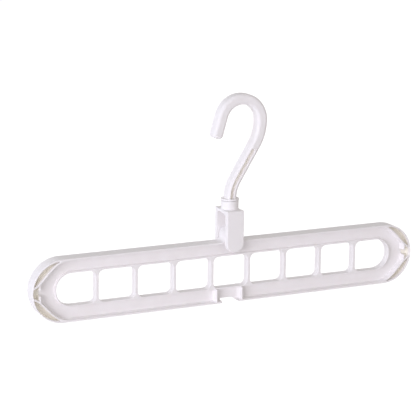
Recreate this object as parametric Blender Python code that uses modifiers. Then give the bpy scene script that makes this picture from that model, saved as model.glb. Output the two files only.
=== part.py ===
"""Rotating clothes hanger: a nine-window bar that tilts in a yoke, under a hook that swivels.

Run with: blender --background --python part.py
Metres. X runs along the bar, Y goes from the front to the back, Z is up.
Shapes are drawn from the middle of the bar, which is level at rest, and the finished pieces
then move so that the world's origin is where the rail sits, at the top of the hook's inside.
"""
import math

import bmesh
import bpy
from mathutils import Matrix

MM = 0.001

# Bar: a flat stadium with an H section, a rim round the edge and a thin web in the middle
BAR_LENGTH = 360 * MM
BAR_HEIGHT = 54 * MM
BAR_DEPTH = 13.7 * MM
RIM_WALL = 1.6 * MM
TIP_WALL = 1 * MM
WEB_THICKNESS = 1.8 * MM
RIM_EDGE_ROUND = 0.5 * MM

# Windows: a row of openings inside one raised frame
WINDOW_COUNT = 9
WINDOW_END_MARGIN = 21.7 * MM
END_MULLION_MARGIN = 57.5 * MM
WINDOW_RAIL_HEIGHT = 13.15 * MM
MULLION = 2.6 * MM
WINDOW_CORNER = 5 * MM
FRAME_WALL = 1.3 * MM
FRAME_DEPTH = 7.4 * MM

# Ogee ribs and stubs in the bar's ends; their points and shares count in the rim's inner radius
RIB_THICKNESS = 1.3 * MM
RIB_POINT_SHARES = ((1.05, 0.16), (0.65, 0.282), (0.40, 0.966), (-0.14, 1.02))
TIP_STUB_SHARE = 0.79
TIP_STUB_TOP_SHARE = 0.31
TIP_STUB_GAP = 4.6 * MM

# Notch in the lower rail: end walls close the channels, and the flange is cut away between them
NOTCH_WALL = 1.2 * MM
NOTCH_LEFT_WALL_X = -14.8 * MM
NOTCH_RIGHT_WALL_X = 9.3 * MM
NOTCH_FILLET = 2.9 * MM
NOTCH_LEFT_X = -8.9 * MM
NOTCH_RIGHT_X = 7.5 * MM
NOTCH_RAMP = 6 * MM
NOTCH_HEIGHT = 3.1 * MM

# Ear on the bar's top, and the pivot through it
EAR_WIDTH = 13 * MM
EAR_FILLET_SHARE = 0.8
PIVOT_RISE = 5 * MM
PAD_EDGE = 0.5 * MM
STUD_DIAMETER = 7 * MM
STUD_LENGTH = 3.8 * MM
STUD_CHAMFER = 0.8 * MM

# Yoke: two tongues under a thin bridge, with a round collar on top
YOKE_WIDTH = 15.7 * MM
TONGUE_THICKNESS = 5 * MM
SIDE_CLEARANCE = 0.95 * MM
BRIDGE_THICKNESS = 2.6 * MM
YOKE_RISE = 22.8 * MM
TONGUE_DROP = 5.6 * MM
YOKE_EDGE_ROUND = 0.7 * MM
SLOT_CORNER = 1.2 * MM
COLLAR_DIAMETER = 15.2 * MM
COLLAR_HEIGHT = 7.3 * MM

# Swivel: the hook's stem turns in the collar and snaps in with a split head
RUNNING_GAP = 0.3 * MM
STEM_DIAMETER = 8 * MM
FLANGE_DIAMETER = 15.8 * MM
FLANGE_THICKNESS = 1.7 * MM
FLANGE_CHAMFER = 0.6 * MM
HEAD_DIAMETER = 10 * MM
HEAD_LIP = 1 * MM
HEAD_TAPER = 3.6 * MM
HEAD_TIP_DIAMETER = 6.6 * MM
HEAD_SPLIT = 1.6 * MM

# Hook: a blade whose middle line is a stem curve, a leaning straight, a back curve and an arch
BLADE_DEPTH = 12.2 * MM
BLADE_STEM_THICKNESS = 8.6 * MM
BLADE_ARCH_THICKNESS = 9.3 * MM
BLADE_EDGE_ROUND = 3 * MM
ARCH_RADIUS = 18.8 * MM
ARCH_OFFSET = 9.1 * MM
ARCH_RISE = 66.2 * MM
BLADE_LEAN = math.radians(31.2)
STEM_CURVE_SHARE = 0.43
TIP_FLARE = math.radians(16)
TIP_LENGTH = 15.9 * MM
TIP_CORNER = 3.6 * MM

# Groove down the front and back of the stem
GROOVE_WIDTH = 3.4 * MM
GROOVE_DEPTH = 3.4 * MM
GROOVE_RISE = 38 * MM
GROOVE_SHIFT = -0.4 * MM

ARC_STEPS = 24
CORNER_STEPS = 6
TURN_STEPS = 48
BLADE_ROUND_STEPS = 5
PLASTIC_COLOUR = (0.80, 0.785, 0.81, 1.0)

# Places and sizes that follow from the values above
BAR_TOP = BAR_HEIGHT / 2
RIM_INNER = BAR_TOP - RIM_WALL
END_CENTRE_X = BAR_LENGTH / 2 - BAR_TOP
BAR_FACE = BAR_DEPTH / 2
WEB_FACE = WEB_THICKNESS / 2
FRAME_FACE = FRAME_DEPTH / 2
WINDOW_ROW_END = BAR_LENGTH / 2 - WINDOW_END_MARGIN
END_MULLION_X = BAR_LENGTH / 2 - END_MULLION_MARGIN
WINDOW_PITCH = 2 * END_MULLION_X / (WINDOW_COUNT - 2)
WINDOW_TOP = BAR_TOP - WINDOW_RAIL_HEIGHT
FRAME_TOP = WINDOW_TOP + FRAME_WALL
PIVOT_Z = BAR_TOP + PIVOT_RISE
EAR_FILLET = PIVOT_RISE * EAR_FILLET_SHARE
SLOT_FACE = BAR_FACE + SIDE_CLEARANCE
YOKE_FACE = SLOT_FACE + TONGUE_THICKNESS
YOKE_TOP = PIVOT_Z + YOKE_RISE
SLOT_TOP = YOKE_TOP - BRIDGE_THICKNESS
COLLAR_TOP = YOKE_TOP + COLLAR_HEIGHT
FLANGE_BOTTOM = COLLAR_TOP + RUNNING_GAP
FLANGE_TOP = FLANGE_BOTTOM + FLANGE_THICKNESS
ARCH_Z = FLANGE_TOP + ARCH_RISE
SEAT_Z = ARCH_Z + ARCH_RADIUS - BLADE_ARCH_THICKNESS / 2
BLADE_FACE = BLADE_DEPTH / 2
SPARE = 4 * MM


# Outlines: lists of points in a plane

def arc(centre, radius, start, end, steps):
    """Points on a circle from one angle to another, in degrees."""
    angles = [math.radians(start + (end - start) * i / steps) for i in range(steps + 1)]
    return [(centre[0] + radius * math.cos(a), centre[1] + radius * math.sin(a)) for a in angles]


def rounded_box(left, right, bottom, top, left_radius, right_radius):
    """A box outline whose left and right pairs of corners are rounded."""
    points = arc((right - right_radius, bottom + right_radius), right_radius, -90, 0, CORNER_STEPS)
    points += arc((right - right_radius, top - right_radius), right_radius, 0, 90, CORNER_STEPS)
    points += arc((left + left_radius, top - left_radius), left_radius, 90, 180, CORNER_STEPS)
    points += arc((left + left_radius, bottom + left_radius), left_radius, 180, 270, CORNER_STEPS)
    return without_repeats(points)


def stadium(half_length, radius):
    """A box with two half-round ends, centred on the origin."""
    points = arc((half_length - radius, 0), radius, -90, 90, ARC_STEPS)
    points += arc((radius - half_length, 0), radius, 90, 270, ARC_STEPS)
    return points


def without_repeats(points):
    """The outline without points that sit on the one before."""
    kept = []
    for point in points:
        if not kept or math.dist(point, kept[-1]) > 1e-6:
            kept.append(point)
    if math.dist(kept[0], kept[-1]) < 1e-6:
        kept.pop()
    return kept


def bezier(controls, steps):
    """Points on a cubic curve with four control points."""
    points = []
    for i in range(steps + 1):
        t = i / steps
        weights = ((1 - t) ** 3, 3 * t * (1 - t) ** 2, 3 * t * t * (1 - t), t ** 3)
        x = sum(w * c[0] for w, c in zip(weights, controls))
        z = sum(w * c[1] for w, c in zip(weights, controls))
        points.append((x, z))
    return points


def ribbon(path, half_widths, shift=0.0):
    """The outline of a band along a path, with a half width for each point; shift moves it to the right."""
    left = []
    right = []
    for i, (x, z) in enumerate(path):
        before = path[max(i - 1, 0)]
        after = path[min(i + 1, len(path) - 1)]
        length = math.dist(before, after)
        across = (-(after[1] - before[1]) / length, (after[0] - before[0]) / length)
        for side, reach in ((left, half_widths[i] - shift), (right, -half_widths[i] - shift)):
            side.append((x + across[0] * reach, z + across[1] * reach))
    return left + right[::-1]


def mirrored(outline, flip_x, flip_z):
    """The outline reflected in the planes asked for."""
    return [(-x if flip_x else x, -z if flip_z else z) for x, z in outline]


# Solids

# How a drawing in the XY plane is turned so that its thickness lies along an axis
TURN_TO = {
    "X": Matrix(((0, 0, 1), (1, 0, 0), (0, 1, 0))),
    "Y": Matrix(((1, 0, 0), (0, 0, -1), (0, 1, 0))),
    "Z": Matrix.Identity(3),
}


def collection(name):
    """A new collection under the scene."""
    made = bpy.data.collections.new(name)
    bpy.context.scene.collection.children.link(made)
    return made


def new_object(name, mesh, group):
    """An object for the mesh, in a collection."""
    made = bpy.data.objects.new(name, mesh)
    group.objects.link(made)
    if group is cutters:
        made.hide_render = True
        made.display_type = "WIRE"
    return made


def plate(name, outlines, low, high, group, axis="Y"):
    """Filled outlines given thickness from low to high: XZ outlines along Y, XY along Z, YZ along X."""
    curve = bpy.data.curves.new(name + "_outline", "CURVE")
    curve.dimensions = "2D"
    curve.fill_mode = "BOTH"
    curve.extrude = (high - low) / 2
    for outline in outlines:
        spline = curve.splines.new("POLY")
        spline.points.add(len(outline) - 1)
        for point, (u, v) in zip(spline.points, outline):
            point.co = (u, v, 0, 1)
        spline.use_cyclic_u = True
    drawing = new_object(name + "_drawing", curve, group)
    mesh = bpy.data.meshes.new_from_object(drawing)
    bpy.data.objects.remove(drawing)
    bpy.data.curves.remove(curve)
    tidy = bmesh.new()
    tidy.from_mesh(mesh)
    bmesh.ops.remove_doubles(tidy, verts=tidy.verts, dist=1e-7)
    bmesh.ops.dissolve_limit(tidy, angle_limit=0.001, verts=tidy.verts, edges=tidy.edges)
    middle = (low + high) / 2
    bmesh.ops.translate(tidy, vec=(0, 0, -middle if axis == "Y" else middle), verts=tidy.verts)
    bmesh.ops.rotate(tidy, cent=(0, 0, 0), matrix=TURN_TO[axis], verts=tidy.verts)
    bmesh.ops.recalc_face_normals(tidy, faces=tidy.faces)
    tidy.to_mesh(mesh)
    tidy.free()
    mesh.name = name
    return new_object(name, mesh, group)


def turned(name, profile, group, centre=(0, 0, 0), axis="Z", flipped=False):
    """A solid of revolution from (radius, height) points that climb from the axis back to the axis."""
    if flipped:
        profile = [(r, -h) for r, h in reversed(profile)]
    points = [(r, 0, h) for r, h in reversed(profile)]
    mesh = bpy.data.meshes.new(name)
    mesh.from_pydata(points, [(i, i + 1) for i in range(len(points) - 1)], [])
    made = new_object(name, mesh, group)
    made.location = centre
    if axis == "Y":
        made.rotation_euler = (-math.pi / 2, 0, 0)
    screw = made.modifiers.new("turn", "SCREW")
    screw.steps = TURN_STEPS
    screw.render_steps = TURN_STEPS
    screw.use_merge_vertices = True
    screw.merge_threshold = 0.00001
    return made


def round_edges(target, width, segments=2):
    """Rounds the sharp edges that the object has at this point of its modifier stack."""
    bevel = target.modifiers.new("edge_round", "BEVEL")
    bevel.width = width
    bevel.segments = segments
    bevel.limit_method = "ANGLE"
    bevel.angle_limit = math.radians(50)


def combine(target, tool, operation):
    """Adds, cuts or keeps one solid with another."""
    step = target.modifiers.new(tool.name, "BOOLEAN")
    step.operation = operation
    step.solver = "EXACT"
    step.object = tool


def both_sides(target):
    """Repeats a tool on the other side of the bar's middle plane."""
    mirror = target.modifiers.new("both_sides", "MIRROR")
    mirror.use_axis = (False, True, False)
    mirror.use_clip = False
    mirror.use_mirror_merge = False


def set_origin(target, place):
    """Moves the object's origin without moving its mesh."""
    target.data.transform(Matrix.Translation([-c for c in place]))
    target.location = place


def plastic(name):
    """Satin translucent-white polypropylene."""
    material = bpy.data.materials.new(name)
    material.use_nodes = True
    shader = material.node_tree.nodes["Principled BSDF"]
    shader.inputs["Base Color"].default_value = PLASTIC_COLOUR
    shader.inputs["Roughness"].default_value = 0.38
    shader.inputs["Metallic"].default_value = 0.0
    return material


# Bar

def bar_outline():
    """The stadium with the ear on top, each corner between them filleted."""
    half = EAR_WIDTH / 2
    points = arc((END_CENTRE_X, 0), BAR_TOP, -90, 90, ARC_STEPS)
    points += arc((half + EAR_FILLET, BAR_TOP + EAR_FILLET), EAR_FILLET, 270, 180, CORNER_STEPS)
    points += arc((0, PIVOT_Z), half, 0, 180, ARC_STEPS)
    points += arc((-half - EAR_FILLET, BAR_TOP + EAR_FILLET), EAR_FILLET, 0, -90, CORNER_STEPS)
    points += arc((-END_CENTRE_X, 0), BAR_TOP, 90, 270, ARC_STEPS)
    return without_repeats(points)


def window_outlines():
    """One outline for each window; the row's two outer ends are half round."""
    outlines = []
    for i in range(WINDOW_COUNT):
        first = i == 0
        last = i == WINDOW_COUNT - 1
        left = -WINDOW_ROW_END if first else -END_MULLION_X + (i - 1) * WINDOW_PITCH + MULLION / 2
        right = WINDOW_ROW_END if last else -END_MULLION_X + i * WINDOW_PITCH - MULLION / 2
        left_radius = WINDOW_TOP if first else WINDOW_CORNER
        right_radius = WINDOW_TOP if last else WINDOW_CORNER
        outlines.append(rounded_box(left, right, -WINDOW_TOP, WINDOW_TOP, left_radius, right_radius))
    return outlines


def end_rib_outlines():
    """The four S-shaped ribs, one in each quarter of the bar."""
    controls = [(END_CENTRE_X + x * RIM_INNER, z * RIM_INNER) for x, z in RIB_POINT_SHARES]
    path = bezier(controls, ARC_STEPS)
    rib = ribbon(path, [RIB_THICKNESS / 2] * len(path))
    return [mirrored(rib, flip_x, flip_z) for flip_x in (False, True) for flip_z in (False, True)]


def tip_stub_outlines():
    """Short upright ends that leave a narrow way into the pocket at each tip."""
    x = END_CENTRE_X + TIP_STUB_SHARE * RIM_INNER
    top = TIP_STUB_TOP_SHARE * RIM_INNER
    stub = ribbon([(x, TIP_STUB_GAP / 2), (x, top)], [RIB_THICKNESS / 2] * 2)
    return [mirrored(stub, flip_x, flip_z) for flip_x in (False, True) for flip_z in (False, True)]


def pocket_tool():
    """What is taken out of each side of the bar: the channel between rim and frame, less its ribs."""
    channel = stadium(BAR_LENGTH / 2 - TIP_WALL, RIM_INNER)
    pocket = plate("pocket", [channel], WEB_FACE, BAR_FACE + SPARE, cutters)
    frame = stadium(WINDOW_ROW_END + FRAME_WALL, FRAME_TOP)
    keep_frame = plate("window_frame", [frame], -SPARE, FRAME_FACE, cutters)
    keep_ribs = plate("end_ribs", end_rib_outlines(), -SPARE, BAR_FACE + 2 * SPARE, cutters)
    keep_stubs = plate("tip_stubs", tip_stub_outlines(), -SPARE, BAR_FACE + 2 * SPARE, cutters)
    for keep in (keep_frame, keep_ribs, keep_stubs, *notch_walls()):
        combine(pocket, keep, "DIFFERENCE")
    both_sides(pocket)
    return pocket


def notch_walls():
    """The two walls beside the notch; the right one sweeps into the web with a fillet."""
    bottom = -RIM_INNER - RIM_WALL / 2
    top = -FRAME_TOP + FRAME_WALL / 2
    outer = BAR_FACE + 2 * SPARE
    left = [
        (NOTCH_LEFT_WALL_X, -SPARE), (NOTCH_LEFT_WALL_X + NOTCH_WALL, -SPARE),
        (NOTCH_LEFT_WALL_X + NOTCH_WALL, outer), (NOTCH_LEFT_WALL_X, outer),
    ]
    sweep_centre = (NOTCH_RIGHT_WALL_X - NOTCH_FILLET, WEB_FACE + NOTCH_FILLET)
    right = arc(sweep_centre, NOTCH_FILLET, -90, 0, CORNER_STEPS)
    right += [(NOTCH_RIGHT_WALL_X, outer), (NOTCH_RIGHT_WALL_X + NOTCH_WALL, outer)]
    right += [(NOTCH_RIGHT_WALL_X + NOTCH_WALL, -SPARE), (sweep_centre[0], -SPARE)]
    left_wall = plate("notch_left_wall", [left], bottom, top, cutters, "Z")
    right_wall = plate("notch_right_wall", [right], bottom, top, cutters, "Z")
    return left_wall, right_wall


def notch_tool():
    """The cut through the lower flange: upright on the left, an S-shaped ramp on the right."""
    top = -BAR_TOP + NOTCH_HEIGHT
    ramp = []
    for i in range(CORNER_STEPS * 2 + 1):
        share = i / (CORNER_STEPS * 2)
        drop = share * share * (3 - 2 * share)
        ramp.append((NOTCH_RIGHT_X - NOTCH_RAMP * (1 - share), top - NOTCH_HEIGHT * drop))
    below = -BAR_TOP - SPARE
    outline = [(NOTCH_RIGHT_X, below)] + ramp[::-1] + [(NOTCH_LEFT_X, top), (NOTCH_LEFT_X, below)]
    return plate("notch", [outline], -BAR_DEPTH, BAR_DEPTH, cutters)


def make_bar():
    """The bar with its pivot pads and sockets."""
    bar = plate("bar", [bar_outline()], -BAR_FACE, BAR_FACE, hanger)
    round_edges(bar, RIM_EDGE_ROUND)
    pad_radius = EAR_WIDTH / 2 - PAD_EDGE
    pad_face = SLOT_FACE - RUNNING_GAP
    pads = turned("pivot_pads", [(0, -pad_face), (pad_radius, -pad_face), (pad_radius, pad_face), (0, pad_face)],
                  cutters, (0, 0, PIVOT_Z), "Y")
    combine(bar, pads, "UNION")
    combine(bar, pocket_tool(), "DIFFERENCE")
    combine(bar, plate("windows", window_outlines(), -BAR_DEPTH, BAR_DEPTH, cutters), "DIFFERENCE")
    combine(bar, notch_tool(), "DIFFERENCE")
    socket_radius = STUD_DIAMETER / 2 + RUNNING_GAP
    socket_floor = SLOT_FACE - STUD_LENGTH - RUNNING_GAP
    profile = [(0, socket_floor), (socket_radius, socket_floor), (socket_radius, BAR_DEPTH), (0, BAR_DEPTH)]
    for name, flipped in (("front_socket", True), ("back_socket", False)):
        combine(bar, turned(name, profile, cutters, (0, 0, PIVOT_Z), "Y", flipped), "DIFFERENCE")
    set_origin(bar, (0, 0, PIVOT_Z))
    return bar


# Yoke

def make_yoke():
    """Two tongues joined by the bridge, with the collar above and a stud inside each tongue."""
    half = YOKE_WIDTH / 2
    outline = [(half, YOKE_TOP), (-half, YOKE_TOP)]
    outline += arc((0, PIVOT_Z - TONGUE_DROP), half, 180, 360, ARC_STEPS)
    yoke = plate("yoke", [outline], -YOKE_FACE, YOKE_FACE, hanger)
    round_edges(yoke, YOKE_EDGE_ROUND)
    slot = box("yoke_slot", (-YOKE_WIDTH, YOKE_WIDTH), (-SLOT_FACE, SLOT_FACE), (0, SLOT_TOP))
    round_edges(slot, SLOT_CORNER)
    combine(yoke, slot, "DIFFERENCE")
    profile = stud_profile()
    for name, flipped in (("front_stud", True), ("back_stud", False)):
        combine(yoke, turned(name, profile, cutters, (0, 0, PIVOT_Z), "Y", flipped), "UNION")
    radius = COLLAR_DIAMETER / 2
    low = SLOT_TOP + BRIDGE_THICKNESS / 2
    collar = turned("collar", [(0, low), (radius, low), (radius, COLLAR_TOP), (0, COLLAR_TOP)], cutters)
    combine(yoke, collar, "UNION")
    bore_radius = STEM_DIAMETER / 2 + RUNNING_GAP
    low = SLOT_TOP - SPARE
    high = COLLAR_TOP + SPARE
    bore = turned("swivel_bore", [(0, low), (bore_radius, low), (bore_radius, high), (0, high)], cutters)
    combine(yoke, bore, "DIFFERENCE")
    set_origin(yoke, (0, 0, YOKE_TOP))
    return yoke


def stud_profile():
    """The round stud that stands in from a tongue and sits in the ear's socket."""
    radius = STUD_DIAMETER / 2
    root = SLOT_FACE + TONGUE_THICKNESS / 2
    tip = SLOT_FACE - STUD_LENGTH
    return [(0, tip), (radius - STUD_CHAMFER, tip), (radius, tip + STUD_CHAMFER), (radius, root), (0, root)]


def box(name, x_range, y_range, z_range):
    """A box cutter between the given limits."""
    mesh = bpy.data.meshes.new(name)
    shape = bmesh.new()
    bmesh.ops.create_cube(shape, size=1)
    sizes = [high - low for low, high in (x_range, y_range, z_range)]
    middle = [(low + high) / 2 for low, high in (x_range, y_range, z_range)]
    bmesh.ops.scale(shape, vec=sizes, verts=shape.verts)
    bmesh.ops.translate(shape, vec=middle, verts=shape.verts)
    shape.to_mesh(mesh)
    shape.free()
    return new_object(name, mesh, cutters)


# Hook

def hook_path():
    """The blade's middle line from below the flange to the tip, with the share of the way to the arch."""
    reach = ARCH_OFFSET + ARCH_RADIUS
    total_radius = (ARCH_RISE - reach / math.tan(BLADE_LEAN)) / math.tan(BLADE_LEAN / 2)
    stem_radius = total_radius * STEM_CURVE_SHARE
    back_radius = total_radius - stem_radius
    lean = math.degrees(BLADE_LEAN)
    flare = math.degrees(TIP_FLARE)
    path = [(0, FLANGE_BOTTOM - SPARE)]
    path += arc((stem_radius, FLANGE_TOP), stem_radius, 180, 180 - lean, CORNER_STEPS)
    path += arc((reach - back_radius, ARCH_Z), back_radius, -lean, 0, CORNER_STEPS)
    stem_count = len(path)
    path += arc((ARCH_OFFSET, ARCH_Z), ARCH_RADIUS, 0, 180 - flare, ARC_STEPS)[1:]
    tip_x, tip_z = path[-1]
    path.append((tip_x - TIP_LENGTH * math.sin(TIP_FLARE), tip_z - TIP_LENGTH * math.cos(TIP_FLARE)))
    shares = [min(1.0, i / (stem_count - 1)) for i in range(len(path))]
    return path, shares


def blade_outline():
    """The blade's side view, with a round corner at each side of the tip."""
    path, shares = hook_path()
    grow = (BLADE_ARCH_THICKNESS - BLADE_STEM_THICKNESS) / 2
    widths = [BLADE_STEM_THICKNESS / 2 + grow * share for share in shares]
    outline = ribbon(path, widths)
    middle = len(path)
    flare = math.degrees(TIP_FLARE)
    tip = []
    for corner, start in ((outline[middle - 1], -flare), (outline[middle], -90 - flare)):
        inward = TIP_CORNER / widths[-1]
        centre = [side + (end - side) * inward for side, end in zip(corner, path[-1])]
        tip += arc(centre, TIP_CORNER, start, start - 90, CORNER_STEPS)
    return without_repeats(outline[:middle] + tip + outline[middle:])


def groove_outline():
    """The stretch of the stem that is grooved, from below the flange to a rounded top end."""
    path, _ = hook_path()
    top = FLANGE_TOP + GROOVE_RISE
    stretch = [path[0]]
    for before, after in zip(path, path[1:]):
        if after[1] >= top:
            share = (top - before[1]) / (after[1] - before[1])
            stretch.append((before[0] + share * (after[0] - before[0]), top))
            break
        stretch.append(after)
    widths = [GROOVE_WIDTH / 2] * len(stretch)
    outline = ribbon(stretch, widths, GROOVE_SHIFT)
    middle = len(stretch)
    left, right = outline[middle - 1], outline[middle]
    centre = ((left[0] + right[0]) / 2, (left[1] + right[1]) / 2)
    start = math.degrees(math.atan2(left[1] - centre[1], left[0] - centre[0]))
    cap = arc(centre, GROOVE_WIDTH / 2, start, start - 180, CORNER_STEPS)
    return without_repeats(outline[:middle] + cap + outline[middle:])


def stem_profile():
    """Radius and height of the turned part: flange, stem, retaining lip and tapered lead-in."""
    head_top = SLOT_TOP - RUNNING_GAP
    head_radius = HEAD_DIAMETER / 2
    lip_bottom = head_top - HEAD_LIP
    tip = lip_bottom - HEAD_TAPER
    flange = FLANGE_DIAMETER / 2
    stem = STEM_DIAMETER / 2
    return [
        (0, tip), (HEAD_TIP_DIAMETER / 2, tip), (head_radius, lip_bottom), (head_radius, head_top),
        (stem, head_top), (stem, FLANGE_BOTTOM), (flange, FLANGE_BOTTOM),
        (flange, FLANGE_TOP - FLANGE_CHAMFER), (flange - FLANGE_CHAMFER, FLANGE_TOP), (0, FLANGE_TOP),
    ]


def make_hook():
    """The grooved blade on its flange and snap-in stem."""
    hook = plate("hook", [blade_outline()], -BLADE_FACE, BLADE_FACE, hanger)
    round_edges(hook, BLADE_EDGE_ROUND, BLADE_ROUND_STEPS)
    foot = box("blade_foot", (-FLANGE_DIAMETER, FLANGE_DIAMETER), (-BLADE_DEPTH, BLADE_DEPTH),
               (FLANGE_BOTTOM - 2 * SPARE, FLANGE_BOTTOM + FLANGE_THICKNESS / 2))
    combine(hook, foot, "DIFFERENCE")
    groove = plate("groove", [groove_outline()], BLADE_FACE - GROOVE_DEPTH, BLADE_FACE + SPARE, cutters)
    both_sides(groove)
    combine(hook, groove, "DIFFERENCE")
    combine(hook, turned("stem", stem_profile(), cutters), "UNION")
    head_bottom = SLOT_TOP - RUNNING_GAP - HEAD_LIP - HEAD_TAPER
    split = box("head_split", (-HEAD_SPLIT / 2, HEAD_SPLIT / 2), (-HEAD_DIAMETER, HEAD_DIAMETER),
                (head_bottom - SPARE, SLOT_TOP))
    combine(hook, split, "DIFFERENCE")
    set_origin(hook, (0, 0, FLANGE_BOTTOM))
    return hook


for leftover in list(bpy.data.objects):
    bpy.data.objects.remove(leftover, do_unlink=True)
hanger = collection("rotating_clothes_hanger")
cutters = collection("tools")
for piece in (make_bar(), make_yoke(), make_hook()):
    piece.data.materials.clear()
    piece.data.materials.append(plastic(piece.name + "_plastic"))
for moved in (*hanger.objects, *cutters.objects):
    moved.location.x -= ARCH_OFFSET
    moved.location.z -= SEAT_Z
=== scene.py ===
"""Looks of the rotating clothes hanger: satin white mouldings under soft studio light.

Metres. X runs along the bar, Y from the front to the back, Z is up; the origin is where the rail sits.
The shapes are worked out in millimetres from the middle of the bar, and place() puts them in the frame.
"""
import math

import bmesh
import bpy
import numpy as np
from mathutils import Matrix
from mathutils.geometry import delaunay_2d_cdt


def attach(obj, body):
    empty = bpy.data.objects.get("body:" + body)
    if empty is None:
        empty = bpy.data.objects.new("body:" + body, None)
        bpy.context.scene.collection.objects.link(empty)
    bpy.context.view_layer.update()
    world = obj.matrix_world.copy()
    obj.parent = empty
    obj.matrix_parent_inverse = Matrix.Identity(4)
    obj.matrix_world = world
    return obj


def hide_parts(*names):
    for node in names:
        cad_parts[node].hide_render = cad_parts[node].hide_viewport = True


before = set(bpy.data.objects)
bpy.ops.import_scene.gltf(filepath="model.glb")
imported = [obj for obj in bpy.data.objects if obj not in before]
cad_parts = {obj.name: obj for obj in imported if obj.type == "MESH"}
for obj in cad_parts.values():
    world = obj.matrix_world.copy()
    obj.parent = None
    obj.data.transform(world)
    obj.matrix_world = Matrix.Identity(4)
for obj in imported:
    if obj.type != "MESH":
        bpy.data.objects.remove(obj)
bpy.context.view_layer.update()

MM = 0.001
IMAGE_WIDTH = 416

# Camera, fitted to the photograph; its place is in millimetres from the middle of the bar
FOCAL_PIXELS = 1500
SENSOR_WIDTH = 36
CAMERA_PLACE = (-544.87, -1126.21, 343.41)
CAMERA_YAW = math.radians(24.97)
CAMERA_PITCH = math.radians(12.987)
CAMERA_ROLL = math.radians(0.532)
NEAREST_SEEN = 0.01
FARTHEST_SEEN = 50

# Floor, in metres, and the white that the camera sees behind the object
FLOOR_Z = -0.34
FLOOR_SIZE = 14.0
FLOOR_COLOUR = (0.86, 0.85, 0.85, 1)
FLOOR_GLOW = 0.68
BACKGROUND = (1, 1, 1, 1)

# Lights: name, degrees to the right of the front, degrees up, distance, size, watts and colour
LIGHTS = (
    ("key", -52, 7, 2.6, 1.4, 33, (0.93, 0.91, 1.0)),
    ("left_fill", -80, 10, 2.6, 1.0, 12.5, (0.69, 0.8, 1.0)),
    ("right_fill", 35, 9, 2.6, 1.6, 4.5, (1.0, 0.95, 1.0)),
    ("back_fill", 180, 3, 2.6, 0.8, 15, (0.97, 0.96, 1.0)),
)
LIT_POINT = (0, 0, -0.09)
WORLD_LIGHT = (1.0, 0.965, 0.945, 1)
WORLD_STRENGTH = 0.43

# White polypropylene: its colour in the open and the warm tint painted deep in a recess as its shade and
# the light through the walls, the shares of it left in the darkest clouds, and its satin grain
WHITE = (0.96, 0.935, 0.94)
# painted shade: the warm tint put deep in narrow recesses for their shade and the light through the walls
RECESS_PAINTED_SHADE = (1.0, 0.965, 0.88)
CLOUD_SHARES = (0.98, 0.975, 0.97)
CLOUD_SCALE = 60
CLOUD_DETAIL = 4
CLOUD_RANGE = (0.35, 0.65)
ROUGHNESS = (0.48, 0.58)
GRAIN_SCALE = 2600
GRAIN_DETAIL = 3
GRAIN_STRENGTH = 0.06
GRAIN_HEIGHT = 0.00004
REFRACTION = 1.49

# The frame's origin, seen from the middle of the bar, in millimetres as all below
RAIL_SEAT = (9.1, 0, 144.45)

# Bar: rim, web, frame and windows
BAR_END = 180
BAR_TOP = 27
BAR_FACE = 6.85
END_X = BAR_END - BAR_TOP
RIM_WALL = 1.6
TIP_WALL = 1
CHANNEL_RADIUS = BAR_TOP - RIM_WALL
CHANNEL_X = BAR_END - TIP_WALL - CHANNEL_RADIUS
WEB_FACE = 0.9
FRAME_FACE = 3.7
FRAME_WALL = 1.3
WINDOW_COUNT = 9
WINDOW_TOP = 13.85
WINDOW_ROW_END = 158.3
WINDOW_CORNER = 5
FRAME_RADIUS = WINDOW_TOP + FRAME_WALL
FRAME_X = WINDOW_ROW_END - WINDOW_TOP
PITCH = 35
MULLION = 2.6
END_MULLION_X = (WINDOW_COUNT / 2 - 1) * PITCH

# Ribs and tip stubs; the rib's points are shares of the channel's radius from the end arc's middle
RIB_HALF = 0.65
RIB_POINTS = ((1.05, 0.16), (0.65, 0.282), (0.40, 0.966), (-0.14, 1.02))
RIB_LINE_POINTS = 25
STUB_SHARE = 0.79
STUB_TOP_SHARE = 0.31
STUB_X = END_X + STUB_SHARE * CHANNEL_RADIUS
STUB_LOW = 2.3
STUB_HIGH = STUB_TOP_SHARE * CHANNEL_RADIUS

# Notch under the middle window
NOTCH_WALL = 1.2
NOTCH_LEFT_WALL = -14.8
NOTCH_RIGHT_WALL = 9.3
NOTCH_SWEEP = 2.9
NOTCH_LEFT = -8.9
NOTCH_RIGHT = 7.5
NOTCH_RAMP = 6
NOTCH_HEIGHT = 3.1
NOTCH_CORNER = 0.8

# Ear and pivot
EAR_RADIUS = 6.5
EAR_FILLET = 4
PIVOT_Z = 32
PAD_RADIUS = 6
PAD_FACE = 7.5
SOCKET_RADIUS = 3.8
SOCKET_FLOOR = 3.7

# Rounds, drafts and fillets of the bar's moulding
OUTER_ROUND = 0.6
LAND_ROUND = 0.3
LAND_DRAFT = 0.22
LAND_FOOT = 0.9
FRAME_ROUND = 0.4
FRAME_DRAFT = 0.1
FRAME_FOOT = 0.7
WINDOW_ROUND = 0.5
CORNER_FILLET = 0.7

# Painted warm shade in the bar's pockets: it starts this far under the face and is full after the fade
POCKET_SHADE_START = 3
POCKET_SHADE_FADE = 2

# Level lines of the bar's edges, as distances from them; the upright sides of the pad and the socket lie
# between two lines, PIVOT_SIDE away from each
OUTLINE_LEVELS = (0, -0.04, -0.16, -0.36, -0.6)
LAND_LEVELS = (-0.3, -0.14, -0.03, 0, 0.22, 0.32, 0.52, 0.8, 1.12)
FRAME_LEVELS = (-0.4, -0.15, -0.03, 0, 0.1, 0.2, 0.42, 0.8)
WINDOW_LEVELS = (0, 0.04, 0.15, 0.3, 0.5)
SWEEP_LEVELS = (0.01, 0.7, 1.4, 2.0, 2.4)
PIVOT_SIDE = 0.02

# A line's point stays between these shares of its grid edge, and points within the reach are merged
CROSSING_SHARES = (0.01, 0.99)
MERGE_REACH = 1e-5

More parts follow.
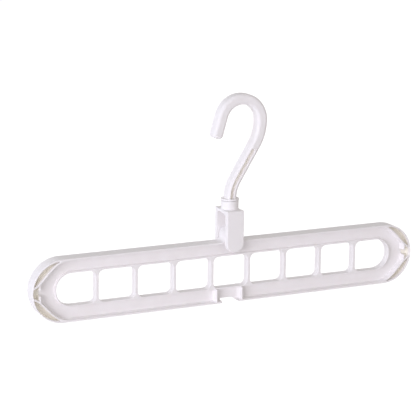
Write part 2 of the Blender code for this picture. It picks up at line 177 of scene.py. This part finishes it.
# Grid of the bar: its steps, how many of them a wide one takes, and how far from the ends' arcs, the
# middle and the mullions they stay close; the uneven margin below keeps grid lines off straight edges
FINE_STEP = 0.6
UPRIGHT_STEP = 0.55
COARSE_EVERY = 6
CLOSE_AT_ENDS = 26
CLOSE_AT_MIDDLE = 17
CLOSE_AT_MULLIONS = 7.5
GRID_MARGIN = 1
GRID_MARGIN_BELOW = 1.03

# Hook: heights on the swivel's axis, the blade's middle line in degrees and lengths, and its section
FLANGE_BOTTOM = 62.4
FLANGE_TOP = 64.1
BLADE_HALF = 4.3
ARCH_HALF = 4.65
BLADE_FACE = 6.1
BLADE_ROUND = 3
ARCH_RADIUS = 18.8
ARCH_X = 9.1
ARCH_RISE = 66.2
LEAN = 31.2
STEM_SHARE = 0.43
FLARE = 16
TIP_LENGTH = 15.9
TIP_CORNER = 3.6

# Groove down the stem, and how far inside its edge the painted warm shade is full
GROOVE_HALF = 1.7
GROOVE_SHIFT = -0.4
GROOVE_FLOOR = 2.7
GROOVE_RISE = 40
GROOVE_ROUND = 0.35
GROOVE_DRAFT = 0.12
GROOVE_FOOT = 0.6
GROOVE_SHADE_FADE = 0.5

# Sections and points of the blade: close ones round the groove's end, in the tip and on the groove's walls
LINE_STEP = 0.02
LINE_SPARE = 10
CLIMB_STEP = 0.5
SECTION_STEP = 0.9
CLOSE_SECTION_STEP = 0.14
CLOSE_BEFORE = 1
CLOSE_AFTER = 2.2
TIP_GAP = 0.5
TIP_SECTIONS = 20
EDGE_POINTS = 12
GROOVE_LEVELS = (-0.35, -0.2, -0.08, 0, 0.12, 0.22, 0.4, 0.7)
GROOVE_FLOOR_HALF = 1.4
GROOVE_FLOOR_POINTS = 15

# Stem, flange and split head: radii and heights on the swivel's axis
AXIS_RADIUS = 0.01
STEM_RADIUS = 4
STEM_BOTTOM = 51.9
FLANGE_RADIUS = 7.9
STEM_ROUND = 0.5
SLOT_TOP = 52.2
HEAD_RADIUS = 5
HEAD_LIP_TOP = 51.9
HEAD_LIP_BOTTOM = 50.9
HEAD_TIP = 47.3
HEAD_TIP_RADIUS = 3.3
HEAD_TIP_START = 3
HEAD_ROUND = 0.25
HEAD_SPLIT = 1.6

# Yoke
YOKE_ROUND = 0.35
YOKE_ROUND_SEGMENTS = 3
SAME_POINT = 0.00001
SAME_PLANE = math.radians(1)
SHARP = math.radians(40)


# Frame and camera

def place(points):
    """Millimetres from the middle of the bar to metres in the frame."""
    return (np.asarray(points, float) - RAIL_SEAT) * MM


def new_object(name, data):
    """An object that shows the data, in the scene."""
    made = bpy.data.objects.new(name, data)
    bpy.context.scene.collection.objects.link(made)
    return made


def stand(right, up, back, spot):
    """The matrix of a camera or a lamp: its columns are the directions of its right side, its top and its
    back, and then the spot where it stands."""
    matrix = np.eye(4)
    matrix[:3] = np.stack([right, up, back, spot], 1)
    return Matrix(matrix.tolist())


def make_camera():
    """The photograph's view: yaw to the right, pitch down and a slight roll."""
    yaw, pitch, roll = CAMERA_YAW, CAMERA_PITCH, CAMERA_ROLL
    forward = np.array([math.sin(yaw) * math.cos(pitch), math.cos(yaw) * math.cos(pitch), -math.sin(pitch)])
    level = np.array([math.cos(yaw), -math.sin(yaw), 0.0])
    upright = np.cross(level, forward)
    right = level * math.cos(roll) + upright * math.sin(roll)
    up = upright * math.cos(roll) - level * math.sin(roll)
    data = bpy.data.cameras.new("photo_camera")
    data.sensor_width = SENSOR_WIDTH
    data.lens = FOCAL_PIXELS / IMAGE_WIDTH * SENSOR_WIDTH
    data.clip_start = NEAREST_SEEN
    data.clip_end = FARTHEST_SEEN
    camera = new_object("photo_camera", data)
    camera.matrix_world = stand(right, up, -forward, place(CAMERA_PLACE))
    bpy.context.scene.camera = camera
    return camera


# Pieces and shells

def even_normals(made):
    """Shades a piece by its large faces, so that narrow rounds don't darken the flats beside them."""
    even = made.modifiers.new("even_normals", "WEIGHTED_NORMAL")
    even.keep_sharp = True


def new_piece(name, body, node, points, faces, recess, material):
    """A smooth piece from points in millimetres and faces, which stands for a CAD node and rides on its
    body; recess holds the share of painted warm shade, 1 for the points deep in a narrow recess and 0
    for those in the open."""
    mesh = bpy.data.meshes.new(name)
    mesh.from_pydata(place(points), [], faces)
    # the recess attribute holds the share of painted warm shade that the material reads
    mesh.attributes.new("recess", "FLOAT", "POINT").data.foreach_set("value", recess)
    mesh.validate()
    mesh.shade_smooth()
    mesh.materials.append(material)
    made = new_object(name, mesh)
    even_normals(made)
    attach(made, body)
    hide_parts(node)
    return made


def step(distance, high, low, edge, draft, foot):
    """Height beside a wall whose top lies at distances below 0: a round of radius edge, a straight slope
    that is draft wide, and a fillet of radius foot down to the low level."""
    rounded = high - edge + np.sqrt(np.maximum(edge ** 2 - np.clip(distance + edge, 0, edge) ** 2, 0))
    share = np.clip(distance / draft, 0, 1)
    sloped = (high - edge) * (1 - share) + (low + foot) * share
    inward = np.clip(foot - (distance - draft), 0, foot)
    filleted = low + foot - np.sqrt(np.maximum(foot ** 2 - inward ** 2, 0))
    return np.where(distance <= 0, rounded, np.where(distance < draft, sloped, filleted))


def ring_faces(rows, columns):
    """Quads between rings of points stored one after the other, each ring's last point joined to its
    first."""
    number = np.arange(rows * columns).reshape(rows, columns)
    number = np.hstack([number, number[:, :1]])
    return np.stack([number[:-1, :-1], number[:-1, 1:], number[1:, 1:], number[1:, :-1]], -1).reshape(-1, 4)


def closed_ring_faces(rows, columns):
    """The quads between rings, and one flat face over the first ring and one over the last."""
    first = tuple(range(columns))[::-1]
    last = tuple((rows - 1) * columns + i for i in range(columns))
    return ring_faces(rows, columns).tolist() + [first, last]


def joined(shells):
    """One list of points and faces from several (points, faces) shells."""
    points, faces, count = [], [], 0
    for shell_points, shell_faces in shells:
        points.append(shell_points)
        faces += [tuple(int(i) + count for i in face) for face in shell_faces]
        count += len(shell_points)
    return np.vstack(points), faces


# Bar

def segment_distance(x, z, start, end):
    """Distance from each point to the nearest point of the straight line between two points."""
    dx, dz = end[0] - start[0], end[1] - start[1]
    share = np.clip(((x - start[0]) * dx + (z - start[1]) * dz) / (dx * dx + dz * dz), 0, 1)
    return np.hypot(x - start[0] - share * dx, z - start[1] - share * dz)


def box_distance(x, z, left, right, bottom, top):
    """Distance to a box: outside it the length to the nearest side or corner, inside it minus the depth."""
    across = np.abs(x - (left + right) / 2) - (right - left) / 2
    up = np.abs(z - (bottom + top) / 2) - (top - bottom) / 2
    return np.hypot(np.maximum(across, 0), np.maximum(up, 0)) + np.minimum(np.maximum(across, up), 0)


def filleted_union(a, b, radius):
    """Distance to two solids joined with a fillet: near both, radius less the length of
    (radius - a, radius - b)."""
    corner = np.hypot(np.maximum(radius - a, 0), np.maximum(radius - b, 0))
    return np.maximum(radius, np.minimum(a, b)) - corner


def bar_edge(x, z):
    """Signed distance to the bar's outline, minus inside: the stadium and the ear joined with a fillet,
    less the notch."""
    stadium = segment_distance(x, z, (-END_X, 0), (END_X, 0)) - BAR_TOP
    ear = segment_distance(x, z, (0, 0), (0, PIVOT_Z)) - EAR_RADIUS
    solid = filleted_union(stadium, ear, EAR_FILLET)
    share = np.clip((x - NOTCH_RIGHT + NOTCH_RAMP) / NOTCH_RAMP, 0, 1)
    roof = -BAR_TOP + NOTCH_HEIGHT * (1 - share * share * (3 - 2 * share))
    notch = np.maximum(-filleted_union(x - NOTCH_LEFT, roof - z, NOTCH_CORNER), x - NOTCH_RIGHT)
    return np.maximum(solid, -notch)


def rib_line():
    """The ogee rib of one quarter: a cubic curve through the shares in RIB_POINTS."""
    t = np.linspace(0, 1, RIB_LINE_POINTS)[:, None]
    weights = np.hstack([(1 - t) ** 3, 3 * t * (1 - t) ** 2, 3 * t * t * (1 - t), t ** 3])
    return weights @ (np.array(RIB_POINTS) * CHANNEL_RADIUS + (END_X, 0))


def land_edge(x, z):
    """Signed distance to what stands at the rim's height, minus on it: rim, ribs, tip stubs and notch
    walls, each joined to the rest with a small fillet."""
    ax, az = np.abs(x), np.abs(z)
    rim = CHANNEL_RADIUS - segment_distance(x, z, (-CHANNEL_X, 0), (CHANNEL_X, 0))
    line = rib_line()
    rib = np.min([segment_distance(ax, az, start, end) for start, end in zip(line, line[1:])], axis=0)
    land = filleted_union(rim, rib - RIB_HALF, CORNER_FILLET)
    stub = box_distance(ax, az, STUB_X - RIB_HALF, STUB_X + RIB_HALF, STUB_LOW, STUB_HIGH)
    land = filleted_union(land, stub, CORNER_FILLET / 2)
    for left in (NOTCH_LEFT_WALL, NOTCH_RIGHT_WALL):
        wall = box_distance(x, z, left, left + NOTCH_WALL, -BAR_TOP, -FRAME_RADIUS + FRAME_WALL / 2)
        land = filleted_union(land, wall, CORNER_FILLET)
    return land


def frame_edge(x, z):
    """Signed distance to the raised frame round the windows, minus on it."""
    return segment_distance(x, z, (-FRAME_X, 0), (FRAME_X, 0)) - FRAME_RADIUS


def window_edge(x, z):
    """Signed distance to the windows, minus in one: rounded boxes, the outer two with a half-round end."""
    ax, az = np.abs(x), np.abs(z)
    middle = np.round(x / PITCH) * PITCH
    inset = WINDOW_TOP - WINDOW_CORNER
    side = PITCH / 2 - MULLION / 2 - WINDOW_CORNER
    inner = box_distance(x - middle, z, -side, side, -inset, inset) - WINDOW_CORNER
    left = END_MULLION_X + MULLION / 2 + WINDOW_CORNER
    past_the_end = 3 * END_X
    outer = box_distance(ax, z, left, past_the_end, -inset, inset) - WINDOW_CORNER
    outer = np.where(ax > FRAME_X, np.hypot(ax - FRAME_X, az) - WINDOW_TOP, outer)
    return np.where(ax < END_MULLION_X, inner, outer)


def bar_height(x, z):
    """How far the bar's face stands out from its middle plane: the highest of web, frame and land, rounded
    down along the windows and the outline, with the pivot's pad and socket on the ear."""
    land = step(land_edge(x, z), BAR_FACE, WEB_FACE, LAND_ROUND, LAND_DRAFT, LAND_FOOT)
    frame_face = step(frame_edge(x, z), FRAME_FACE, WEB_FACE, FRAME_ROUND, FRAME_DRAFT, FRAME_FOOT)
    window = np.clip(WINDOW_ROUND - window_edge(x, z), 0, WINDOW_ROUND)
    frame_face = np.minimum(frame_face, FRAME_FACE - WINDOW_ROUND + np.sqrt(WINDOW_ROUND ** 2 - window ** 2))
    height = np.maximum(land, frame_face)
    run = np.clip(x - NOTCH_RIGHT_WALL + NOTCH_SWEEP, 0, NOTCH_SWEEP)
    sweep = WEB_FACE + NOTCH_SWEEP - np.sqrt(NOTCH_SWEEP ** 2 - run ** 2)
    beside = (x < NOTCH_RIGHT_WALL + NOTCH_WALL / 2) & (z < -FRAME_RADIUS) & (run > 0)
    height = np.where(beside, np.maximum(height, sweep), height)
    inward = np.clip(OUTER_ROUND + bar_edge(x, z), 0, OUTER_ROUND)
    height = np.minimum(height, BAR_FACE - OUTER_ROUND + np.sqrt(OUTER_ROUND ** 2 - inward ** 2))
    pivot = np.hypot(x, z - PIVOT_Z)
    height = np.where(pivot < PAD_RADIUS, PAD_FACE, height)
    return np.where(pivot < SOCKET_RADIUS, SOCKET_FLOOR, height)


def bar_painted_shade(x, z, height):
    """The share of painted warm shade: 1 on the floors of the narrow pockets outside the ribs and beyond
    the tip stubs, fading up their walls."""
    ax, az = np.abs(x), np.abs(z)
    rib = rib_line()
    outside = (ax > np.interp(az, rib[:, 1], rib[:, 0])) | (ax > STUB_X)
    return np.where(outside, np.clip((BAR_FACE - height - POCKET_SHADE_START) / POCKET_SHADE_FADE, 0, 1), 0)


def level_lines(xs, zs, values):
    """Points and segments where a field on a grid crosses zero: each grid edge whose ends differ in sign
    holds one point, placed by its share of the difference, and the two points of a cell are joined."""
    number = 0
    points, tables = [], []
    for axis in (0, 1):
        first = values[:-1, :] if axis == 0 else values[:, :-1]
        second = values[1:, :] if axis == 0 else values[:, 1:]
        i, j = np.nonzero((first < 0) != (second < 0))
        share = np.clip(first[i, j] / (first[i, j] - second[i, j]), *CROSSING_SHARES)
        if axis == 0:
            points.append(np.stack([xs[i] + share * (xs[i + 1] - xs[i]), zs[j]], 1))
        else:
            points.append(np.stack([xs[i], zs[j] + share * (zs[j + 1] - zs[j])], 1))
        table = np.full(first.shape, -1)
        table[i, j] = number + np.arange(len(i))
        tables.append(table)
        number += len(i)
    flat, upright = tables
    cells = np.stack([flat[:, :-1], flat[:, 1:], upright[:-1, :], upright[1:, :]], -1).reshape(-1, 4)
    cells = np.sort(cells, 1)
    pairs = cells[(cells[:, 1] < 0) & (cells[:, 2] >= 0)][:, 2:]
    return np.vstack(points), pairs


def bar_grid():
    """Grid positions: close steps in the ends, round the ear and notch and at the mullions, wider steps
    between them."""
    xs = np.arange(-BAR_END - GRID_MARGIN, BAR_END + GRID_MARGIN + FINE_STEP, FINE_STEP)
    from_mullion = np.abs(np.mod(xs, PITCH) - PITCH / 2)
    close = (np.abs(xs) > END_X - CLOSE_AT_ENDS) | (np.abs(xs) < CLOSE_AT_MIDDLE)
    close |= from_mullion < CLOSE_AT_MULLIONS
    xs = xs[close | (np.arange(len(xs)) % COARSE_EVERY == 0)]
    zs = np.arange(-BAR_TOP - GRID_MARGIN_BELOW, PIVOT_Z + EAR_RADIUS + GRID_MARGIN, UPRIGHT_STEP)
    return xs, zs


def bar_lines(xs, zs):
    """The level lines of all of the bar's edges: their points, and the pairs of points that are joined."""
    x, z = np.meshgrid(xs, zs, indexing="ij")
    pivot = np.hypot(x, z - PIVOT_Z)
    sweep = np.where((z < -FRAME_RADIUS) & (z > -BAR_TOP), x - NOTCH_RIGHT_WALL + NOTCH_SWEEP, -1)
    fields = (
        (bar_edge(x, z), OUTLINE_LEVELS),
        (land_edge(x, z), LAND_LEVELS),
        (frame_edge(x, z), FRAME_LEVELS),
        (window_edge(x, z), WINDOW_LEVELS),
        (pivot, (PAD_RADIUS - PIVOT_SIDE, PAD_RADIUS + PIVOT_SIDE)),
        (pivot, (SOCKET_RADIUS - PIVOT_SIDE, SOCKET_RADIUS + PIVOT_SIDE)),
        (sweep, SWEEP_LEVELS),
    )
    points, pairs, count = [], [], 0
    for values, levels in fields:
        for level in levels:
            line, joins = level_lines(xs, zs, values - level)
            points.append(line)
            pairs.append(joins + count)
            count += len(line)
    return np.vstack(points), np.vstack(pairs)


def bar_triangles():
    """Triangles between the level lines, inside the outline and outside the windows, each turned to face
    the front: their points, and three point numbers for each."""
    points, pairs = bar_lines(*bar_grid())
    cut = delaunay_2d_cdt(points.tolist(), pairs.tolist(), [], 0, MERGE_REACH, False)
    flat = np.maximum([tuple(point) for point in cut[0]], (-BAR_END, -BAR_TOP))
    triangles = np.array(cut[2])
    middle = flat[triangles].mean(axis=1)
    kept = (bar_edge(middle[:, 0], middle[:, 1]) < 0) & (window_edge(middle[:, 0], middle[:, 1]) > 0)
    triangles = triangles[kept]
    corner = flat[triangles]
    area = np.cross(corner[:, 1] - corner[:, 0], corner[:, 2] - corner[:, 0])
    triangles = np.where((area > 0)[:, None], triangles, triangles[:, ::-1])
    used, triangles = np.unique(triangles, return_inverse=True)
    return flat[used], triangles.reshape(-1, 3)


def open_sides(triangles, count):
    """The sides that belong to one triangle only, out of triangles between so many points."""
    sides = np.vstack([triangles[:, [0, 1]], triangles[:, [1, 2]], triangles[:, [2, 0]]])
    key = np.sort(sides, 1)
    _, first, uses = np.unique(key[:, 0] * count + key[:, 1], return_index=True, return_counts=True)
    return sides[first[uses == 1]]


def make_bar(material):
    """The bar as a height over its middle plane: triangles between the level lines of its edges, mirrored
    to the back, and upright walls along the outline and round the windows."""
    flat, triangles = bar_triangles()
    count = len(flat)
    height = bar_height(flat[:, 0], flat[:, 1])
    front = np.stack([flat[:, 0], -height, flat[:, 1]], 1)
    back = np.stack([flat[:, 0], height, flat[:, 1]], 1)
    start, stop = open_sides(triangles, count).T
    walls = np.stack([stop, start, start + count, stop + count], 1)
    faces = triangles.tolist() + (triangles[:, ::-1] + count).tolist() + walls.tolist()
    # painted shade: warm tint in the pockets beyond the ribs and the tip stubs, on both faces
    recess = np.tile(bar_painted_shade(flat[:, 0], flat[:, 1], height), 2)
    return new_piece("bar_moulding", "bar", "bar", np.vstack([front, back]), faces, recess, material)


# Hook

def hook_stretches():
    """Lengths and turns of the blade's middle line: out of the flange, the stem's curve, the leaning
    straight, the back's curve, the arch and the flared tip. The two curves share a radius sum that leaves
    the straight at the lean's angle and ends upright beside the arch's middle."""
    lean, flare = math.radians(LEAN), math.radians(FLARE)
    reach = ARCH_X + ARCH_RADIUS
    radii = (ARCH_RISE - reach / math.tan(lean)) / math.tan(lean / 2)
    straight = (ARCH_RISE - radii * math.sin(lean)) / math.cos(lean)
    lengths = [(FLANGE_TOP - FLANGE_BOTTOM) / 2, STEM_SHARE * radii * lean, straight,
               (1 - STEM_SHARE) * radii * lean, ARCH_RADIUS * (math.pi - flare), TIP_LENGTH]
    return lengths, [0, -lean, 0, lean, math.pi - flare, 0]


def hook_line(stations):
    """Points and headings of the blade's middle line: the heading turns evenly along each stretch, and the
    point is the sum of small steps along it."""
    lengths, turns = hook_stretches()
    ends = np.cumsum([0] + lengths)
    headings = math.pi / 2 + np.cumsum([0] + turns)
    s = np.arange(0, ends[-1] + LINE_SPARE, LINE_STEP) + LINE_STEP / 2
    angle = np.interp(s, ends, headings)
    x = np.concatenate([[0], np.cumsum(np.cos(angle) * LINE_STEP)])
    z = np.concatenate([[0], np.cumsum(np.sin(angle) * LINE_STEP)]) + (FLANGE_BOTTOM + FLANGE_TOP) / 2
    at = np.concatenate([[0], s + LINE_STEP / 2])
    return np.interp(stations, at, x), np.interp(stations, at, z), np.interp(stations, ends, headings)


def blade_sections(end, groove_end):
    """Places of the blade's sections along its middle line; in the tip they close up as a sine does."""
    return np.concatenate([
        np.arange(0, groove_end - CLOSE_BEFORE, SECTION_STEP),
        np.arange(groove_end - CLOSE_BEFORE, groove_end + CLOSE_AFTER, CLOSE_SECTION_STEP),
        np.arange(groove_end + CLOSE_AFTER, end - TIP_GAP, SECTION_STEP),
        end + TIP_CORNER * np.sin(np.linspace(0, math.pi / 2, TIP_SECTIONS)),
    ])


def blade_width_points():
    """Places across the blade: along the round of each edge, at the groove's walls and on its floor."""
    edge = -BLADE_HALF + BLADE_ROUND * (1 - np.cos(np.linspace(0, math.pi / 2, EDGE_POINTS)))
    wall = np.array(GROOVE_LEVELS)
    floor = np.linspace(-GROOVE_FLOOR_HALF, GROOVE_FLOOR_HALF, GROOVE_FLOOR_POINTS)
    left = GROOVE_SHIFT - GROOVE_HALF + wall
    right = GROOVE_SHIFT + GROOVE_HALF - wall
    return np.unique(np.round(np.concatenate([edge, -edge, left, right, floor]), 3))


def blade_shell():
    """The blade, with its recess values, the share of painted warm shade in the groove: sections carried
    along the middle line, drawn in at the tip round corners of radius TIP_CORNER. Its face stands BLADE_FACE
    out and falls by a round of radius BLADE_ROUND to the side, by the distance from the side, and the groove
    is sunk into both faces."""
    lengths, _ = hook_stretches()
    end, arch = sum(lengths), sum(lengths[:4])
    climb = np.arange(0, arch, CLIMB_STEP)
    groove_end = np.interp(FLANGE_TOP + GROOVE_RISE, hook_line(climb)[1], climb)
    along = blade_sections(end, groove_end)
    across = blade_width_points()
    x, z, heading = hook_line(along)
    beyond = np.clip(along - end, 0, TIP_CORNER)
    base = BLADE_HALF + (ARCH_HALF - BLADE_HALF) * np.clip(along / arch, 0, 1)
    half = base - TIP_CORNER + np.sqrt(TIP_CORNER ** 2 - beyond ** 2)
    u = across[None, :] * (half / BLADE_HALF)[:, None]
    side = np.abs(u) - (base - TIP_CORNER)[:, None]
    tip = (along - end)[:, None]
    inside = TIP_CORNER - np.hypot(np.maximum(side, 0), np.maximum(tip, 0))
    inside = inside - np.minimum(np.maximum(side, tip), 0)
    inward = np.clip(BLADE_ROUND - inside, 0, BLADE_ROUND)
    face = BLADE_FACE - BLADE_ROUND + np.sqrt(BLADE_ROUND ** 2 - inward ** 2)
    past = np.maximum(along - groove_end, 0)[:, None]
    sunk = GROOVE_HALF - np.hypot(across[None, :] - GROOVE_SHIFT, past)
    face = np.minimum(face, step(sunk, BLADE_FACE, GROOVE_FLOOR, GROOVE_ROUND, GROOVE_DRAFT, GROOVE_FOOT))
    px = x[:, None] + u * np.sin(heading)[:, None]
    pz = z[:, None] - u * np.cos(heading)[:, None]
    front = np.stack([px, -face, pz], -1)
    back = np.stack([px, face, pz], -1)[:, ::-1]
    loop = np.concatenate([front, back], 1)
    # painted shade: warm tint full on the groove's floor, fading towards its edge
    recess = np.clip(sunk / GROOVE_SHADE_FADE, 0, 1)
    recess = np.concatenate([recess, recess[:, ::-1]], 1)
    rows, columns = loop.shape[:2]
    faces = ring_faces(rows, columns).tolist() + blade_end_faces(rows, columns)
    return loop.reshape(-1, 3), faces, recess.ravel()


def blade_end_faces(rows, columns):
    """Quads over the blade's first and last ring, from each front point to the back one behind it."""
    ahead = np.arange(columns // 2 - 1)
    behind = columns - 1 - ahead
    cap = np.stack([ahead, behind, behind - 1, ahead + 1], 1)
    return cap.tolist() + (cap[:, ::-1] + (rows - 1) * columns).tolist()


def turned_shell(profile, steps=96):
    """A closed solid of revolution on the swivel's axis from (radius, height) points that climb."""
    r, h = np.array(profile, float).T
    angle = np.linspace(0, 2 * math.pi, steps, endpoint=False)
    x = r[:, None] * np.cos(angle)
    y = r[:, None] * np.sin(angle)
    z = np.repeat(h[:, None], steps, 1)
    return np.stack([x, y, z], -1).reshape(-1, 3), closed_ring_faces(len(r), steps)


def prong_shell(side, profile, gap, steps=40):
    """One half of the split head: half a turn of the profile, cut flat at half the gap from the middle."""
    r, h = np.array(profile, float).T
    angle = np.linspace(-math.pi / 2, math.pi / 2, steps)
    x = np.maximum(r[:, None] * np.cos(angle), gap / 2) * side
    y = r[:, None] * np.sin(angle) * side
    z = np.repeat(h[:, None], steps, 1)
    return np.stack([x, y, z], -1).reshape(-1, 3), closed_ring_faces(len(r), steps)


def round_profile(corners, radius, steps=5):
    """The (radius, height) profile with each inner corner rounded: points of a quadratic curve between
    the two sides."""
    corners = [np.array(c, float) for c in corners]
    line = [corners[0]]
    for before, here, after in zip(corners, corners[1:], corners[2:]):
        reach = min(radius, np.linalg.norm(before - here) / 2.1, np.linalg.norm(after - here) / 2.1)
        start = here + (before - here) / np.linalg.norm(before - here) * reach
        stop = here + (after - here) / np.linalg.norm(after - here) * reach
        t = np.linspace(0, 1, steps)[:, None]
        line += list((1 - t) ** 2 * start + 2 * t * (1 - t) * here + t ** 2 * stop)
    return np.array(line + [corners[-1]])


def make_hook(material):
    """The hook: the grooved blade, the flange on its stem, and the split snap head."""
    stem = [(AXIS_RADIUS, STEM_BOTTOM), (STEM_RADIUS, STEM_BOTTOM), (STEM_RADIUS, FLANGE_BOTTOM),
            (FLANGE_RADIUS, FLANGE_BOTTOM), (FLANGE_RADIUS, FLANGE_TOP), (AXIS_RADIUS, FLANGE_TOP)]
    prong = [(HEAD_TIP_START, HEAD_TIP), (HEAD_TIP_RADIUS, HEAD_TIP), (HEAD_RADIUS, HEAD_LIP_BOTTOM),
             (HEAD_RADIUS, HEAD_LIP_TOP), (STEM_RADIUS, HEAD_LIP_TOP), (STEM_RADIUS, SLOT_TOP)]
    blade_points, blade_faces, groove = blade_shell()
    shells = [(blade_points, blade_faces), turned_shell(round_profile(stem, STEM_ROUND))]
    shells += [prong_shell(side, round_profile(prong, HEAD_ROUND), HEAD_SPLIT) for side in (1, -1)]
    points, faces = joined(shells)
    # painted warm shade in the blade's groove only; the stem and the head get none
    recess = np.concatenate([groove, np.zeros(len(points) - len(groove))])
    return new_piece("hook_moulding", "hook", "hook", points, faces, recess, material)


# Yoke

def make_yoke(material):
    """The yoke from its CAD solid: merged, its flat faces made whole, and every sharp edge rounded."""
    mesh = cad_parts["yoke"].data.copy()
    mesh.name = "yoke_moulding"
    mesh.materials.clear()
    shape = bmesh.new()
    shape.from_mesh(mesh)
    bmesh.ops.remove_doubles(shape, verts=shape.verts, dist=SAME_POINT)
    bmesh.ops.dissolve_limit(shape, angle_limit=SAME_PLANE, verts=shape.verts, edges=shape.edges)
    shape.to_mesh(mesh)
    shape.free()
    mesh.shade_smooth()
    mesh.materials.append(material)
    made = new_object("yoke_moulding", mesh)
    edge = made.modifiers.new("edge_round", "BEVEL")
    edge.width = YOKE_ROUND * MM
    edge.segments = YOKE_ROUND_SEGMENTS
    edge.limit_method = "ANGLE"
    edge.angle_limit = SHARP
    edge.miter_outer = "MITER_ARC"
    even_normals(made)
    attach(made, "yoke")
    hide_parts("yoke")
    return made


# Materials

def new_node(tree, kind, inputs):
    """A node of a material or world, with its inputs set by name or number."""
    made = tree.nodes.new(kind)
    for name, value in inputs.items():
        made.inputs[name].default_value = value
    return made


def plastic(name, tint, painted_shade_tint):
    """White polypropylene with a fine satin grain, faint cloudiness and a painted warm shade deep in narrow
    recesses, which stands for the light that reaches them only through the walls."""
    material = bpy.data.materials.new(name)
    material.use_nodes = True
    tree = material.node_tree
    shader = tree.nodes["Principled BSDF"]
    shader.inputs["IOR"].default_value = REFRACTION
    spot = tree.nodes.new("ShaderNodeTexCoord")

    cloud = new_node(tree, "ShaderNodeTexNoise", {"Scale": CLOUD_SCALE, "Detail": CLOUD_DETAIL})
    tree.links.new(spot.outputs["Object"], cloud.inputs["Vector"])
    colours = tree.nodes.new("ShaderNodeValToRGB")
    clouded, clear = colours.color_ramp.elements
    clouded.position, clear.position = CLOUD_RANGE
    clouded.color = (*(part * share for part, share in zip(tint, CLOUD_SHARES)), 1)
    clear.color = (*tint, 1)
    tree.links.new(cloud.outputs["Fac"], colours.inputs["Fac"])

    # painted shade: the recess attribute mixes the base colour towards the warm recess tint
    depth = tree.nodes.new("ShaderNodeAttribute")
    depth.attribute_name = "recess"
    painted_shade_mix = tree.nodes.new("ShaderNodeMix")
    painted_shade_mix.data_type = "RGBA"
    painted_shade_mix.inputs["B"].default_value = (*painted_shade_tint, 1)
    tree.links.new(depth.outputs["Fac"], painted_shade_mix.inputs["Factor"])
    tree.links.new(colours.outputs["Color"], painted_shade_mix.inputs["A"])
    tree.links.new(painted_shade_mix.outputs["Result"], shader.inputs["Base Color"])

    smooth, rough = ROUGHNESS
    gloss = new_node(tree, "ShaderNodeMapRange", {"To Min": smooth, "To Max": rough})
    tree.links.new(cloud.outputs["Fac"], gloss.inputs["Value"])
    tree.links.new(gloss.outputs["Result"], shader.inputs["Roughness"])

    grain = new_node(tree, "ShaderNodeTexNoise", {"Scale": GRAIN_SCALE, "Detail": GRAIN_DETAIL})
    tree.links.new(spot.outputs["Object"], grain.inputs["Vector"])
    bump = new_node(tree, "ShaderNodeBump", {"Strength": GRAIN_STRENGTH, "Distance": GRAIN_HEIGHT})
    tree.links.new(grain.outputs["Fac"], bump.inputs["Height"])
    tree.links.new(bump.outputs["Normal"], shader.inputs["Normal"])
    return material


def seen_rays(tree):
    """1 for the rays that show the background: camera, glossy and transmission rays added up, at most 1."""
    rays = tree.nodes.new("ShaderNodeLightPath")
    total = rays.outputs["Is Camera Ray"]
    for name in ("Is Glossy Ray", "Is Transmission Ray"):
        add = tree.nodes.new("ShaderNodeMath")
        add.operation = "ADD"
        add.use_clamp = True
        tree.links.new(total, add.inputs[0])
        tree.links.new(rays.outputs[name], add.inputs[1])
        total = add.outputs[0]
    return total


def floor_paper():
    """Matt pale paper that takes the shadow and adds a plain glow for the rays that show the background."""
    paper = bpy.data.materials.new("floor_paper")
    paper.use_nodes = True
    tree = paper.node_tree
    tree.nodes.clear()
    out = tree.nodes.new("ShaderNodeOutputMaterial")
    matt = new_node(tree, "ShaderNodeBsdfDiffuse", {"Color": FLOOR_COLOUR})
    glow = new_node(tree, "ShaderNodeEmission", {"Color": BACKGROUND})
    strength = new_node(tree, "ShaderNodeMath", {1: FLOOR_GLOW})
    strength.operation = "MULTIPLY"
    tree.links.new(seen_rays(tree), strength.inputs[0])
    tree.links.new(strength.outputs[0], glow.inputs["Strength"])
    both = tree.nodes.new("ShaderNodeAddShader")
    tree.links.new(matt.outputs[0], both.inputs[0])
    tree.links.new(glow.outputs[0], both.inputs[1])
    tree.links.new(both.outputs[0], out.inputs["Surface"])
    return paper


# Stage

def make_floor():
    """One square of paper under the object."""
    mesh = bpy.data.meshes.new("floor")
    half = FLOOR_SIZE / 2
    corners = [(x, y, FLOOR_Z) for x, y in ((-half, -half), (half, -half), (half, half), (-half, half))]
    mesh.from_pydata(corners, [], [(0, 1, 2, 3)])
    floor = new_object("floor", mesh)
    mesh.materials.append(floor_paper())


def make_world():
    """An even pale world that lights the object softly and shows as plain white behind it."""
    world = bpy.data.worlds.new("studio")
    bpy.context.scene.world = world
    world.use_nodes = True
    tree = world.node_tree
    tree.nodes.clear()
    out = tree.nodes.new("ShaderNodeOutputWorld")
    seen = new_node(tree, "ShaderNodeBackground", {"Color": BACKGROUND})
    lit = new_node(tree, "ShaderNodeBackground", {"Color": WORLD_LIGHT, "Strength": WORLD_STRENGTH})
    mix = tree.nodes.new("ShaderNodeMixShader")
    tree.links.new(seen_rays(tree), mix.inputs["Fac"])
    tree.links.new(lit.outputs[0], mix.inputs[1])
    tree.links.new(seen.outputs[0], mix.inputs[2])
    tree.links.new(mix.outputs[0], out.inputs["Surface"])


def make_light(name, azimuth, elevation, distance, size, power, colour):
    """A soft square light that faces the hanger, placed by its direction and distance from it."""
    turn, rise = math.radians(azimuth), math.radians(elevation)
    away = np.array([math.sin(turn) * math.cos(rise), -math.cos(turn) * math.cos(rise), math.sin(rise)])
    data = bpy.data.lights.new(name, "AREA")
    data.shape = "SQUARE"
    data.size = size
    data.energy = power
    data.color = colour
    side = np.cross((0, 0, 1), away)
    side = side / np.linalg.norm(side)
    made = new_object(name, data)
    made.matrix_world = stand(side, np.cross(away, side), away, away * distance + LIT_POINT)
    return made


make_camera()
make_floor()
make_world()
for row in LIGHTS:
    make_light(*row)
white = plastic("white_polypropylene", WHITE, RECESS_PAINTED_SHADE)
make_bar(white)
make_yoke(white)
make_hook(white)

bpy.context.scene.view_settings.view_transform = "Standard"
